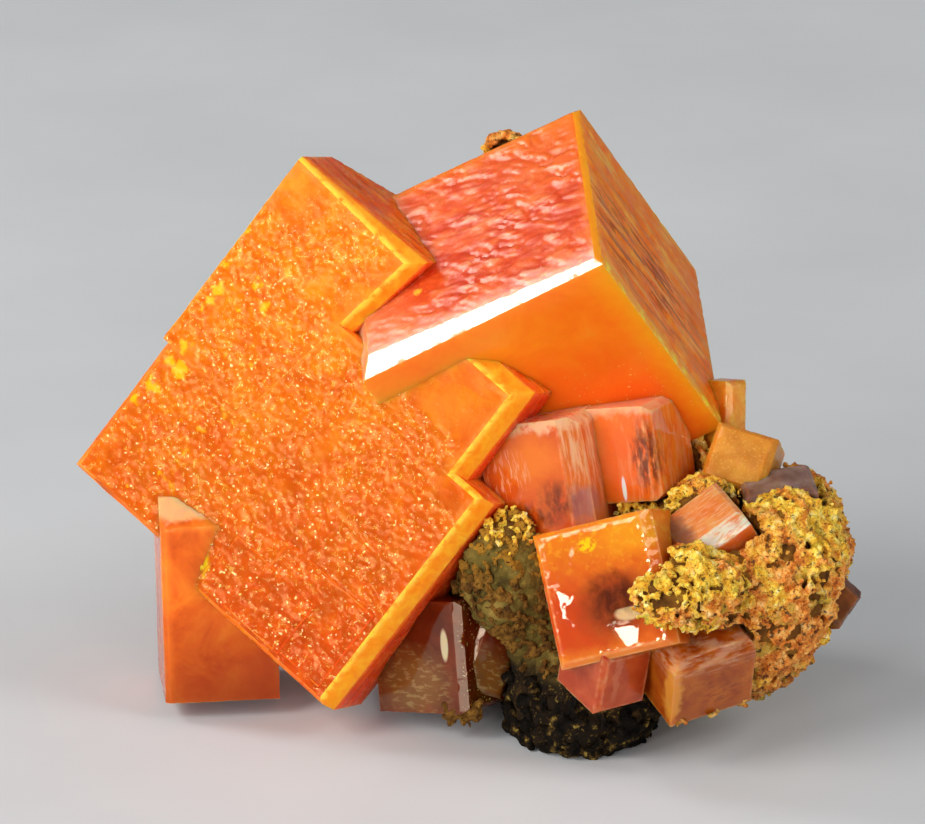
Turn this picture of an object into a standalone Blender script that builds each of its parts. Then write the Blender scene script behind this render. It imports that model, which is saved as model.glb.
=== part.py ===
"""Wulfenite on matrix: thick orange crystals grown together on a lump of limonite rock.

Metres, +Z up. The front faces -Y. The sizes and places below are millimetres, seen from a point on
the middle of the front view, and at the end the whole specimen is moved so that its origin is the
bottom centre of its box. It stands on the cut base of the rock and on the foot of the left crystal.
"""
import math
from collections import namedtuple

import bpy
import bmesh
from mathutils import Matrix, Vector

MM = 0.001
GAP = 0.3
TABLE_LEVEL = -0.95

# A crystal's front face is centred at a point, turned by azimuth to the right, by tilt upwards and by
# spin about its own normal. Its size is its width and height along that face and its depth behind it.
TALL = dict(at=(5.4, 8.1, 22.5), azimuth=5.3, tilt=-23.0, spin=30.5, size=(19.3, 18.6, 16.6))
LEFT_FOOT = dict(at=(-17.1, 7.6, 7.6), azimuth=6.0, tilt=7.0, spin=0.5, size=(8.1, 14.6, 9.0))
LOW = dict(at=(-3.1, 4.6, 4.6), azimuth=-35.0, tilt=8.0, spin=11.0, size=(7.4, 8.0, 7.0))
LOW_BACK = dict(at=(2.2, 4.2, 4.6), azimuth=24.0, tilt=8.0, spin=-24.0, size=(3.4, 5.2, 5.0))
UPPER_LEFT = dict(at=(4.9, 4.7, 17.7), azimuth=-24.0, tilt=6.0, spin=14.0, size=(7.4, 8.4, 6.4))
UPPER_RIGHT = dict(at=(10.9, 6.0, 19.2), azimuth=-26.0, tilt=6.0, spin=12.0, size=(5.4, 6.8, 6.6))
CLEAR = dict(at=(9.7, -3.7, 13.0), azimuth=-19.4, tilt=20.9, spin=19.8, size=(8.6, 9.5, 5.4))
CLEAR_LOWER = dict(at=(11.3, -4.0, 6.3), azimuth=34.0, tilt=-14.0, spin=0.0, size=(4.4, 4.8, 4.8))
AMBER = dict(at=(17.3, -3.9, 6.0), azimuth=29.0, tilt=-20.0, spin=8.0, size=(6.4, 5.6, 5.2))
LEANING = dict(at=(16.4, 0.5, 16.5), azimuth=-40.0, tilt=53.0, spin=63.0, size=(5.2, 4.7, 4.4))
FROSTED = dict(at=(19.3, 6.4, 18.9), azimuth=-9.0, tilt=33.0, spin=-14.0, size=(4.5, 4.2, 5.0))
EDGE = dict(at=(17.9, 12.4, 19.9), azimuth=-42.0, tilt=12.0, spin=10.0, size=(2.4, 4.8, 2.2))
FLAT = dict(at=(21.9, 5.3, 17.6), azimuth=-20.0, tilt=78.0, spin=28.0, size=(5.2, 3.8, 2.0))
TIP = dict(at=(26.2, 2.6, 10.1), azimuth=30.0, tilt=20.0, spin=40.0, size=(3.4, 3.4, 4.6))

# The big grainy crystal: its face starts at the top corner, X runs down to the right and Y up to the
# right. Its body, crest and step are three blocks grown in one plane, the step turned very slightly.
GRAINY = dict(at=(-11.0, 14.1, 38.2), azimuth=-20.8, tilt=16.9, spin=-32.9)
GRAINY_STEP = dict(at=(-8.5, 4.9, 13.0), azimuth=-19.2, tilt=16.9, spin=-32.9)
BODY_RANGE = ((0.0, 23.1), (-27.8, -2.0), (-9.5, 0.0))
CREST_RANGE = ((-0.4, 11.3), (-16.5, 0.0), (-10.5, 0.06))
STEP_RANGE = ((-7.0, 6.7), (-9.7, 9.2), (-6.5, 0.0))
LEDGE_RANGES = (
    ((-3.0, 5.0), (-8.8, -2.4), (-1.0, 0.14)),
    ((-6.2, 1.2), (-9.0, -4.6), (-1.0, 0.24)),
)
CREST_SHOULDER = 4.5
CREST_LEAN = -0.165
NOTCH_RANGE = ((8.0, 14.5), (-7.3, 0.5), (-10.0, 0.5))

# Bevels: wide ones round the broad faces, narrow ones elsewhere
WIDE_BEVEL = 1.1
NARROW_BEVEL = 0.35

# Growth ridges down the right side of the tall crystal, as depth from, depth to and rise, and
# terraces on its scaly upper face, as left, right, back and rise
RIDGES = ((-3.4, -2.5, 0.18), (-7.6, -5.6, 0.25), (-12.6, -10.0, 0.2))
RIDGE_ENDS = (-7.8, 7.6)
TERRACES = ((-8.0, 3.5, -14.5, 0.16), (-6.5, 0.5, -9.5, 0.3))
TERRACE_FRONT = -2.2
ROOT = 1.0

# Rock: centre and half sizes of the lumps that it is made of
ROCK_LUMPS = (
    ((8.5, 15.0, 9.0), (13.5, 11.0, 11.8)),
    ((10.0, 17.0, 14.0), (9.5, 9.0, 9.0)),
    ((3.6, 8.0, 11.0), (5.2, 6.2, 5.8)),
    ((3.6, 6.6, 8.8), (3.6, 4.6, 3.8)),
    ((8.6, 6.8, 2.0), (6.0, 8.6, 5.2)),
    ((20.6, 5.2, 11.0), (6.2, 7.5, 6.6)),
    ((23.4, 7.6, 13.2), (3.4, 5.0, 3.8)),
    ((23.6, 4.6, 15.2), (2.2, 2.6, 2.6)),
    ((15.8, -2.6, 12.9), (3.8, 3.7, 2.4)),
    ((14.3, -5.4, 13.1), (2.5, 1.9, 2.0)),
    ((17.5, 4.5, 14.0), (4.5, 5.0, 3.4)),
    ((19.0, 4.0, 6.5), (5.4, 5.5, 3.8)),
)
# Broken faces of the rock: a point on each and the way that it looks, as azimuth and tilt
ROCK_BREAKS = (
    ((12.0, 24.0, 10.0), 170.0, 6.0),
    ((24.0, 19.0, 8.0), 128.0, 12.0),
    ((-2.4, 21.0, 6.0), 205.0, -14.0),
    ((14.0, 21.0, 22.0), 176.0, 58.0),
    ((22.0, 16.0, 1.0), 130.0, -48.0),
)
ROCK_GRAIN = 1.35
ROCK_RELIEF = 1.8
ROCK_LUMP_WIDTH = 3.2
FAR = 60.0

# A fleck of crust on the tall crystal's upper back edge: centre and half sizes
CRUST_FLECK = ((3.0, 20.4, 37.1), (1.2, 1.2, 0.8))

Crystal = namedtuple("Crystal", "frame low high bevels")


def face_frame(at, azimuth, tilt, spin=0.0):
    """Placement of a face: X and Y lie in it, Z is its outward normal."""
    turn = Matrix.Rotation(math.radians(azimuth), 4, "Z")
    lean = Matrix.Rotation(math.radians(90 - tilt), 4, "X")
    roll = Matrix.Rotation(math.radians(spin), 4, "Z")
    return Matrix.Translation(Vector(at)) @ turn @ lean @ roll


def front_bevels(top=NARROW_BEVEL, right=NARROW_BEVEL, bottom=NARROW_BEVEL, left=NARROW_BEVEL):
    """Bevels round the front face, each a direction and the width that it takes off its faces."""
    return [((0, 1, 1), top), ((1, 0, 1), right), ((0, -1, 1), bottom), ((-1, 0, 1), left)]


def top_bevels(front=NARROW_BEVEL, right=NARROW_BEVEL, back=NARROW_BEVEL, left=NARROW_BEVEL):
    """Bevels round the upper side face."""
    return [((0, 1, 1), front), ((1, 1, 0), right), ((0, 1, -1), back), ((-1, 1, 0), left)]


def side_bevels(front=NARROW_BEVEL, top=NARROW_BEVEL, back=NARROW_BEVEL, bottom=NARROW_BEVEL):
    """Bevels round the right side face."""
    return [((1, 0, 1), front), ((1, 1, 0), top), ((1, 0, -1), back), ((1, -1, 0), bottom)]


def single(place, bevels):
    """A crystal whose front face is centred on its place."""
    width, height, depth = place["size"]
    frame = face_frame(place["at"], place["azimuth"], place["tilt"], place["spin"])
    return Crystal(frame, (-width / 2, -height / 2, -depth), (width / 2, height / 2, 0.0), bevels)


def block_in(frame, x, y, z, bevels=()):
    """A block of a larger crystal, given by its ranges along the frame's axes."""
    return Crystal(frame, (x[0], y[0], z[0]), (x[1], y[1], z[1]), bevels)


def crystal_mesh(crystal, grow=0.0):
    """The crystal as a closed solid with flat faces, each moved outwards by grow."""
    solid = bmesh.new()
    bmesh.ops.create_cube(solid, size=1.0)
    for vert in solid.verts:
        for axis in range(3):
            outer = vert.co[axis] > 0
            vert.co[axis] = crystal.high[axis] + grow if outer else crystal.low[axis] - grow
    for direction, cut in crystal.bevels:
        towards = Vector(direction)
        reach = sum(d * (crystal.high[i] if d > 0 else crystal.low[i]) for i, d in enumerate(towards))
        distance = (reach - cut) / towards.length + grow
        normal = towards.normalized()
        whole = solid.verts[:] + solid.edges[:] + solid.faces[:]
        cut_away = bmesh.ops.bisect_plane(
            solid, geom=whole, dist=1e-6, plane_co=normal * distance, plane_no=normal, clear_outer=True
        )
        rim = [item for item in cut_away["geom_cut"] if isinstance(item, bmesh.types.BMEdge)]
        if rim:
            bmesh.ops.edgeloop_fill(solid, edges=rim)
    bmesh.ops.transform(solid, matrix=Matrix.Scale(MM, 4) @ crystal.frame, verts=solid.verts)
    bmesh.ops.recalc_face_normals(solid, faces=solid.faces)
    mesh = bpy.data.meshes.new("crystal")
    solid.to_mesh(mesh)
    solid.free()
    return mesh


def lump_mesh(all_lumps, detail):
    """Round lumps, each given by its centre and half sizes."""
    lumps = bmesh.new()
    for centre, half in all_lumps:
        place = Matrix.Translation(Vector(centre)) @ Matrix.Diagonal((*half, 1.0))
        bmesh.ops.create_icosphere(lumps, subdivisions=detail, radius=1.0, matrix=place)
    bmesh.ops.transform(lumps, matrix=Matrix.Scale(MM, 4), verts=lumps.verts)
    mesh = bpy.data.meshes.new("lumps")
    lumps.to_mesh(mesh)
    lumps.free()
    return mesh


def add_object(name, mesh, surface=None):
    piece = bpy.data.objects.new(name, mesh)
    bpy.context.scene.collection.objects.link(piece)
    if surface:
        mesh.materials.append(surface)
    return piece


def add_guide(name, mesh):
    """A hidden solid that other pieces are joined with or cut by."""
    guide = add_object(name, mesh)
    guide.hide_render = True
    guide.display_type = "WIRE"
    return guide


def add_boolean(piece, tool, operation):
    step = piece.modifiers.new(operation.lower(), "BOOLEAN")
    step.operation = operation
    step.solver = "EXACT"
    step.object = tool


def keep_clear(piece, crystals):
    """Cut the piece back to a small gap from the crystals that it touches."""
    for number, crystal in enumerate(crystals):
        tool = add_guide(f"{piece.name}_clearance_{number}", crystal_mesh(crystal, GAP))
        add_boolean(piece, tool, "DIFFERENCE")


def material(name, colour, roughness):
    surface = bpy.data.materials.new(name)
    surface.use_nodes = True
    shader = surface.node_tree.nodes["Principled BSDF"]
    shader.inputs["Base Color"].default_value = (*colour, 1.0)
    shader.inputs["Roughness"].default_value = roughness
    shader.inputs["Metallic"].default_value = 0.0
    return surface


def crystal_group(name, crystals, surface, neighbours=(), notch=None):
    """Crystals grown together as one solid, clear of their neighbours. A notch is cut from the first."""
    group = add_object(name, crystal_mesh(crystals[0]), surface)
    if notch:
        add_boolean(group, add_guide(f"{name}_notch", crystal_mesh(notch)), "DIFFERENCE")
    for number, crystal in enumerate(crystals[1:], 1):
        add_boolean(group, add_guide(f"{name}_block_{number}", crystal_mesh(crystal)), "UNION")
    keep_clear(group, neighbours)
    return group


def grainy_crystal():
    """The big left crystal: body, crest and step, with two low ledges on the step, and the notch that
    its body leaves beside the crest, where the tall crystal shows."""
    face = face_frame(**GRAINY)
    step_face = face_frame(**GRAINY_STEP)
    lean_over = CREST_LEAN * CREST_RANGE[1][0]
    crest_bevels = [
        ((0.06, 1, 1), 1.0),
        ((1, CREST_LEAN, 0), lean_over),
        ((1, CREST_LEAN, 1), lean_over + 0.9),
        ((-1, 1, -1), CREST_SHOULDER),
    ]
    blocks = [
        block_in(face, *BODY_RANGE, front_bevels(top=WIDE_BEVEL, right=WIDE_BEVEL)),
        block_in(face, *CREST_RANGE, crest_bevels),
        block_in(step_face, *STEP_RANGE, front_bevels(right=WIDE_BEVEL)),
    ]
    for ledge in LEDGE_RANGES:
        blocks.append(block_in(step_face, *ledge))
    return blocks, block_in(face, *NOTCH_RANGE)


def tall_crystal():
    """The tall crystal behind: its block first, then its ridges and terraces."""
    widening = [((-0.03, 1, 0.75), 0.95), ((1, 1, 0), 0.4), ((0, 1, -1), 0.6), ((-1, 1, 0), 1.2)]
    block = single(TALL, widening)
    right = block.high[0]
    top = block.high[1]
    blocks = [block]
    for start, end, rise in RIDGES:
        ends = ((1, 1, 0), rise + 0.2), ((1, -1, 0), rise + 0.2)
        blocks.append(block_in(block.frame, (right - ROOT, right + rise), RIDGE_ENDS, (start, end), ends))
    for left_end, right_end, back, rise in TERRACES:
        reach = (left_end, right_end)
        blocks.append(block_in(block.frame, reach, (top - ROOT, top + rise), (back, TERRACE_FRONT)))
    return blocks


def left_foot_crystal():
    """The upright crystal at the left, with a sloping top and a wide bevel in front of it."""
    return single(LEFT_FOOT, [((0, 1, 1), 1.8), ((0.4, 1, 0), 2.5), ((-1, 0, 1), NARROW_BEVEL)])


def rock(surface, crystals):
    """One lumpy body with broken faces and a flat base, hollowed where the crystals sit in it."""
    matrix = add_object("matrix", lump_mesh(ROCK_LUMPS, 4), surface)
    melt = matrix.modifiers.new("melt", "REMESH")
    melt.mode = "VOXEL"
    melt.voxel_size = ROCK_GRAIN * MM
    relief = bpy.data.textures.new("relief", "CLOUDS")
    relief.noise_scale = ROCK_LUMP_WIDTH * MM
    relief.noise_depth = 2
    rough = matrix.modifiers.new("rough", "DISPLACE")
    rough.texture = relief
    rough.texture_coords = "LOCAL"
    rough.mid_level = 0.5
    rough.strength = ROCK_RELIEF * MM
    wide = (-FAR, FAR)
    for number, (point, azimuth, tilt) in enumerate(ROCK_BREAKS):
        outside = block_in(face_frame(point, azimuth, tilt), wide, wide, (0.0, FAR))
        add_boolean(matrix, add_guide(f"break_{number}", crystal_mesh(outside)), "DIFFERENCE")
    table = block_in(Matrix.Identity(4), wide, wide, (-FAR, TABLE_LEVEL))
    add_boolean(matrix, add_guide("table", crystal_mesh(table)), "DIFFERENCE")
    keep_clear(matrix, crystals)
    drop_crumbs(matrix)
    return matrix


def crust_fleck(surface, crystals):
    """A fleck of the crust that clings to the back of the tall crystal."""
    fleck = add_object("crust_fleck", lump_mesh([CRUST_FLECK], 3), surface)
    keep_clear(fleck, crystals)
    return fleck


def drop_crumbs(piece):
    """Keep only the largest body of a cut piece."""
    scene_now = bpy.context.evaluated_depsgraph_get()
    mesh = bpy.data.meshes.new_from_object(piece.evaluated_get(scene_now))
    piece.modifiers.clear()
    piece.data = mesh
    solid = bmesh.new()
    solid.from_mesh(mesh)
    waiting = set(solid.verts)
    bodies = []
    while waiting:
        edge_of_body = [waiting.pop()]
        body = list(edge_of_body)
        while edge_of_body:
            vert = edge_of_body.pop()
            for edge in vert.link_edges:
                other = edge.other_vert(vert)
                if other in waiting:
                    waiting.remove(other)
                    edge_of_body.append(other)
                    body.append(other)
        bodies.append(body)
    bodies.sort(key=len)
    for crumb in bodies[:-1]:
        bmesh.ops.delete(solid, geom=crumb, context="VERTS")
    solid.to_mesh(mesh)
    solid.free()


def stand_on_origin(pieces):
    """Move everything so that the pieces' box has its bottom centre at the origin."""
    scene_now = bpy.context.evaluated_depsgraph_get()
    points = []
    for piece in pieces:
        points.extend(vert.co.copy() for vert in piece.evaluated_get(scene_now).data.vertices)
    low = Vector([min(point[axis] for point in points) for axis in range(3)])
    high = Vector([max(point[axis] for point in points) for axis in range(3)])
    bottom_centre = Vector(((low.x + high.x) / 2, (low.y + high.y) / 2, low.z))
    for item in bpy.context.scene.objects:
        item.location -= bottom_centre


def build():
    for item in list(bpy.data.objects):
        bpy.data.objects.remove(item, do_unlink=True)
    orange = material("orange_crystal", (0.85, 0.24, 0.02), 0.3)
    clear_orange = material("clear_orange_crystal", (0.83, 0.2, 0.03), 0.12)
    pink_orange = material("pink_orange_crystal", (0.72, 0.25, 0.12), 0.2)
    cloudy = material("cloudy_crystal", (0.6, 0.3, 0.06), 0.45)
    brown = material("brown_crystal", (0.38, 0.19, 0.12), 0.25)
    limonite = material("limonite", (0.33, 0.24, 0.05), 0.9)

    grainy, notch = grainy_crystal()
    tall = tall_crystal()
    upper_right = single(UPPER_RIGHT, side_bevels(front=0.5, top=0.5))
    large = grainy + tall + [
        left_foot_crystal(),
        single(LOW, side_bevels(front=0.5)),
        single(LOW_BACK, front_bevels()),
        single(UPPER_LEFT, side_bevels(front=1.2, top=0.6)),
        upper_right,
    ]
    front = [
        single(CLEAR, front_bevels(right=0.7, bottom=0.4)),
        single(CLEAR_LOWER, front_bevels(right=0.5)),
        single(AMBER, top_bevels(front=0.7, left=0.7)),
    ]
    leaning = single(LEANING, front_bevels(bottom=0.9))
    frosted = single(FROSTED, front_bevels(right=0.5))
    edge = single(EDGE, side_bevels())
    flat = single(FLAT, front_bevels())
    tip = single(TIP, front_bevels(right=0.9, top=0.9))

    pieces = [
        crystal_group("large_crystals", large, orange, notch=notch),
        crystal_group("front_crystals", front, clear_orange, large),
        crystal_group("leaning_crystal", [leaning], pink_orange, front + [upper_right]),
        crystal_group("frosted_crystal", [frosted], cloudy, [tall[0], upper_right, leaning]),
        crystal_group("edge_crystal", [edge], orange, [tall[0], frosted]),
        crystal_group("flat_crystal", [flat], brown, [frosted]),
        crystal_group("tip_crystal", [tip], brown),
        crust_fleck(limonite, tall),
        rock(limonite, large + front + [leaning, frosted, edge, flat, tip]),
    ]
    stand_on_origin(pieces)


build()
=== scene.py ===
"""Wulfenite on matrix, dressed: crystals with their growth relief, the porous rock, floor, light, camera.

The tables are millimetres in the specimen's building position; HOME moves them to the frame.
"""
import math

import bmesh
import bpy
import numpy as np
from mathutils import Euler, Matrix, Vector, noise
from mathutils.bvhtree import BVHTree
from mathutils.geometry import delaunay_2d_cdt


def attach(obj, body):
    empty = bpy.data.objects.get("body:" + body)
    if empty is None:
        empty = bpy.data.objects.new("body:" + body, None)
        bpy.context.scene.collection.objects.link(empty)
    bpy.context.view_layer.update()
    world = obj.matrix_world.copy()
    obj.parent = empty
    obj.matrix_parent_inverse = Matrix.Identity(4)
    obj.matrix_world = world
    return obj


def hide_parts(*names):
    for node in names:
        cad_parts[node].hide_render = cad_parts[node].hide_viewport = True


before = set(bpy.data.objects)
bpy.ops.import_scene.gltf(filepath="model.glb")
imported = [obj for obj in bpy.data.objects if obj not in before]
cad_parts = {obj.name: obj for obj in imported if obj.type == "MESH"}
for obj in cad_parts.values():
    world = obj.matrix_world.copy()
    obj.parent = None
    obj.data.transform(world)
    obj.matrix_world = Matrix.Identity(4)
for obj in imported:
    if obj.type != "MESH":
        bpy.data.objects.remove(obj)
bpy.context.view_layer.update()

MM = 0.001
HOME = Matrix.Translation((-0.24, -10.436, 0.962))
NARROW = 0.35
WIDE = 1.1

GRAINY = dict(at=(-11.0, 14.1, 38.2), azimuth=-20.8, tilt=16.9, spin=-32.9)
TALL = dict(at=(5.4, 8.1, 22.5), azimuth=5.3, tilt=-23.0, spin=30.5, size=(19.3, 18.6, 16.6))
LEFT_FOOT = dict(at=(-17.1, 7.6, 7.6), azimuth=6.0, tilt=7.0, spin=0.5, size=(8.1, 14.6, 9.0))
LOW = dict(at=(-3.1, 4.6, 4.6), azimuth=-35.0, tilt=8.0, spin=11.0, size=(7.4, 8.0, 7.0))
LOW_BACK = dict(at=(2.2, 4.2, 4.6), azimuth=24.0, tilt=8.0, spin=-24.0, size=(3.4, 5.2, 5.0))
UPPER_LEFT = dict(at=(4.9, 4.7, 17.7), azimuth=-24.0, tilt=6.0, spin=14.0, size=(7.4, 8.4, 6.4))
UPPER_RIGHT = dict(at=(10.9, 6.0, 19.2), azimuth=-26.0, tilt=6.0, spin=12.0, size=(5.4, 6.8, 6.6))
CLEAR = dict(at=(9.7, -3.7, 13.0), azimuth=-19.4, tilt=20.9, spin=19.8, size=(8.6, 9.5, 5.4))
CLEAR_LOWER = dict(at=(11.3, -4.0, 6.3), azimuth=34.0, tilt=-14.0, spin=0.0, size=(4.4, 4.8, 4.8))
AMBER = dict(at=(17.3, -3.9, 6.0), azimuth=29.0, tilt=-20.0, spin=8.0, size=(6.4, 5.6, 5.2))
LEANING = dict(at=(16.4, 0.5, 16.5), azimuth=-40.0, tilt=53.0, spin=63.0, size=(5.2, 4.7, 4.4))
FROSTED = dict(at=(19.3, 6.4, 18.9), azimuth=-9.0, tilt=33.0, spin=-14.0, size=(4.5, 4.2, 5.0))
EDGE = dict(at=(17.9, 12.4, 19.9), azimuth=-42.0, tilt=12.0, spin=10.0, size=(2.4, 4.8, 2.2))
FLAT = dict(at=(21.9, 5.3, 17.6), azimuth=-20.0, tilt=78.0, spin=28.0, size=(5.2, 3.8, 2.0))
TIP = dict(at=(26.2, 2.6, 10.1), azimuth=30.0, tilt=20.0, spin=40.0, size=(3.4, 3.4, 4.6))


def linear(code):
    """A colour from its six hexadecimal digits, as linear light."""
    parts = [int(code[i:i + 2], 16) / 255 for i in (0, 2, 4)]
    return tuple(p / 12.92 if p <= 0.04045 else ((p + 0.055) / 1.055) ** 2.4 for p in parts)


# ---- shapes

def face_frame(at, azimuth, tilt, spin=0.0, **_):
    """Placement of a crystal's front face, in millimetres: X and Y lie in it, Z is its outward normal."""
    turn = Matrix.Rotation(math.radians(azimuth), 4, "Z")
    lean = Matrix.Rotation(math.radians(90 - tilt), 4, "X")
    roll = Matrix.Rotation(math.radians(spin), 4, "Z")
    return HOME @ Matrix.Translation(Vector(at)) @ turn @ lean @ roll


def front_bevels(top=NARROW, right=NARROW, bottom=NARROW, left=NARROW):
    return [((0, 1, 1), top), ((1, 0, 1), right), ((0, -1, 1), bottom), ((-1, 0, 1), left)]


def top_bevels(front=NARROW, right=NARROW, back=NARROW, left=NARROW):
    return [((0, 1, 1), front), ((1, 1, 0), right), ((0, 1, -1), back), ((-1, 1, 0), left)]


def side_bevels(front=NARROW, top=NARROW, back=NARROW, bottom=NARROW):
    return [((1, 0, 1), front), ((1, 1, 0), top), ((1, 0, -1), back), ((1, -1, 0), bottom)]


def block(low, high, bevels=()):
    """A closed block cut by its bevels, as a bmesh."""
    solid = bmesh.new()
    bmesh.ops.create_cube(solid, size=1.0)
    for vert in solid.verts:
        for axis in range(3):
            vert.co[axis] = high[axis] if vert.co[axis] > 0 else low[axis]
    for direction, cut in bevels:
        towards = Vector(direction)
        reach = sum(d * (high[i] if d > 0 else low[i]) for i, d in enumerate(towards))
        distance = (reach - cut) / towards.length
        normal = towards.normalized()
        whole = solid.verts[:] + solid.edges[:] + solid.faces[:]
        cut_away = bmesh.ops.bisect_plane(
            solid, geom=whole, dist=1e-5, plane_co=normal * distance, plane_no=normal, clear_outer=True
        )
        rim = [item for item in cut_away["geom_cut"] if isinstance(item, bmesh.types.BMEdge)]
        if rim:
            bmesh.ops.edgeloop_fill(solid, edges=rim)
    bmesh.ops.recalc_face_normals(solid, faces=solid.faces)
    return solid


def centred(place, bevels):
    width, height, depth = place["size"]
    return block((-width / 2, -height / 2, -depth), (width / 2, height / 2, 0.0), bevels)


def ranged(x, y, z, bevels=()):
    return block((x[0], y[0], z[0]), (x[1], y[1], z[1]), bevels)


def joined(first, others):
    """The first block joined with or cut by others: each a block, its placement and the operation."""
    scene = bpy.context.scene
    made = []
    for number, (solid, place, _) in enumerate([(first, Matrix.Identity(4), None)] + others):
        mesh = bpy.data.meshes.new(f"part_{number}")
        bmesh.ops.transform(solid, matrix=place, verts=solid.verts)
        solid.to_mesh(mesh)
        solid.free()
        item = bpy.data.objects.new(f"part_{number}", mesh)
        scene.collection.objects.link(item)
        made.append(item)
    for item, (_, _, operation) in zip(made[1:], others):
        step = made[0].modifiers.new("join", "BOOLEAN")
        step.operation = operation
        step.solver = "EXACT"
        step.object = item
    result = bmesh.new()
    result.from_object(made[0], bpy.context.evaluated_depsgraph_get())
    for item in made:
        bpy.data.objects.remove(item, do_unlink=True)
    return result


def store(mesh, label, values):
    layer = mesh.attributes.new(label, "FLOAT", "POINT")
    layer.data.foreach_set("value", np.array(values, dtype=np.float32))


def store_places(mesh, points):
    """The points' own coordinates in millimetres, which the materials' patterns follow."""
    layer = mesh.attributes.new("place", "FLOAT_VECTOR", "POINT")
    layer.data.foreach_set("vector", np.array(points, dtype=np.float32).ravel())


KEYS = {
    "front": (0, 0, 1), "back": (0, 0, -1), "top": (0, 1, 0), "bottom": (0, -1, 0),
    "right": (1, 0, 0), "left": (-1, 0, 0), "front_top": (0, 1, 1), "front_right": (1, 0, 1),
    "front_bottom": (0, -1, 1), "front_left": (-1, 0, 1), "top_right": (1, 1, 0),
    "top_left": (-1, 1, 0), "top_back": (0, 1, -1), "right_back": (1, 0, -1),
    "right_bottom": (1, -1, 0), "shoulder": (-1, 1, -1),
}
KEY_NAMES = list(KEYS)
KEY_WAYS = np.array([np.array(way) / np.linalg.norm(way) for way in KEYS.values()])


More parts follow.
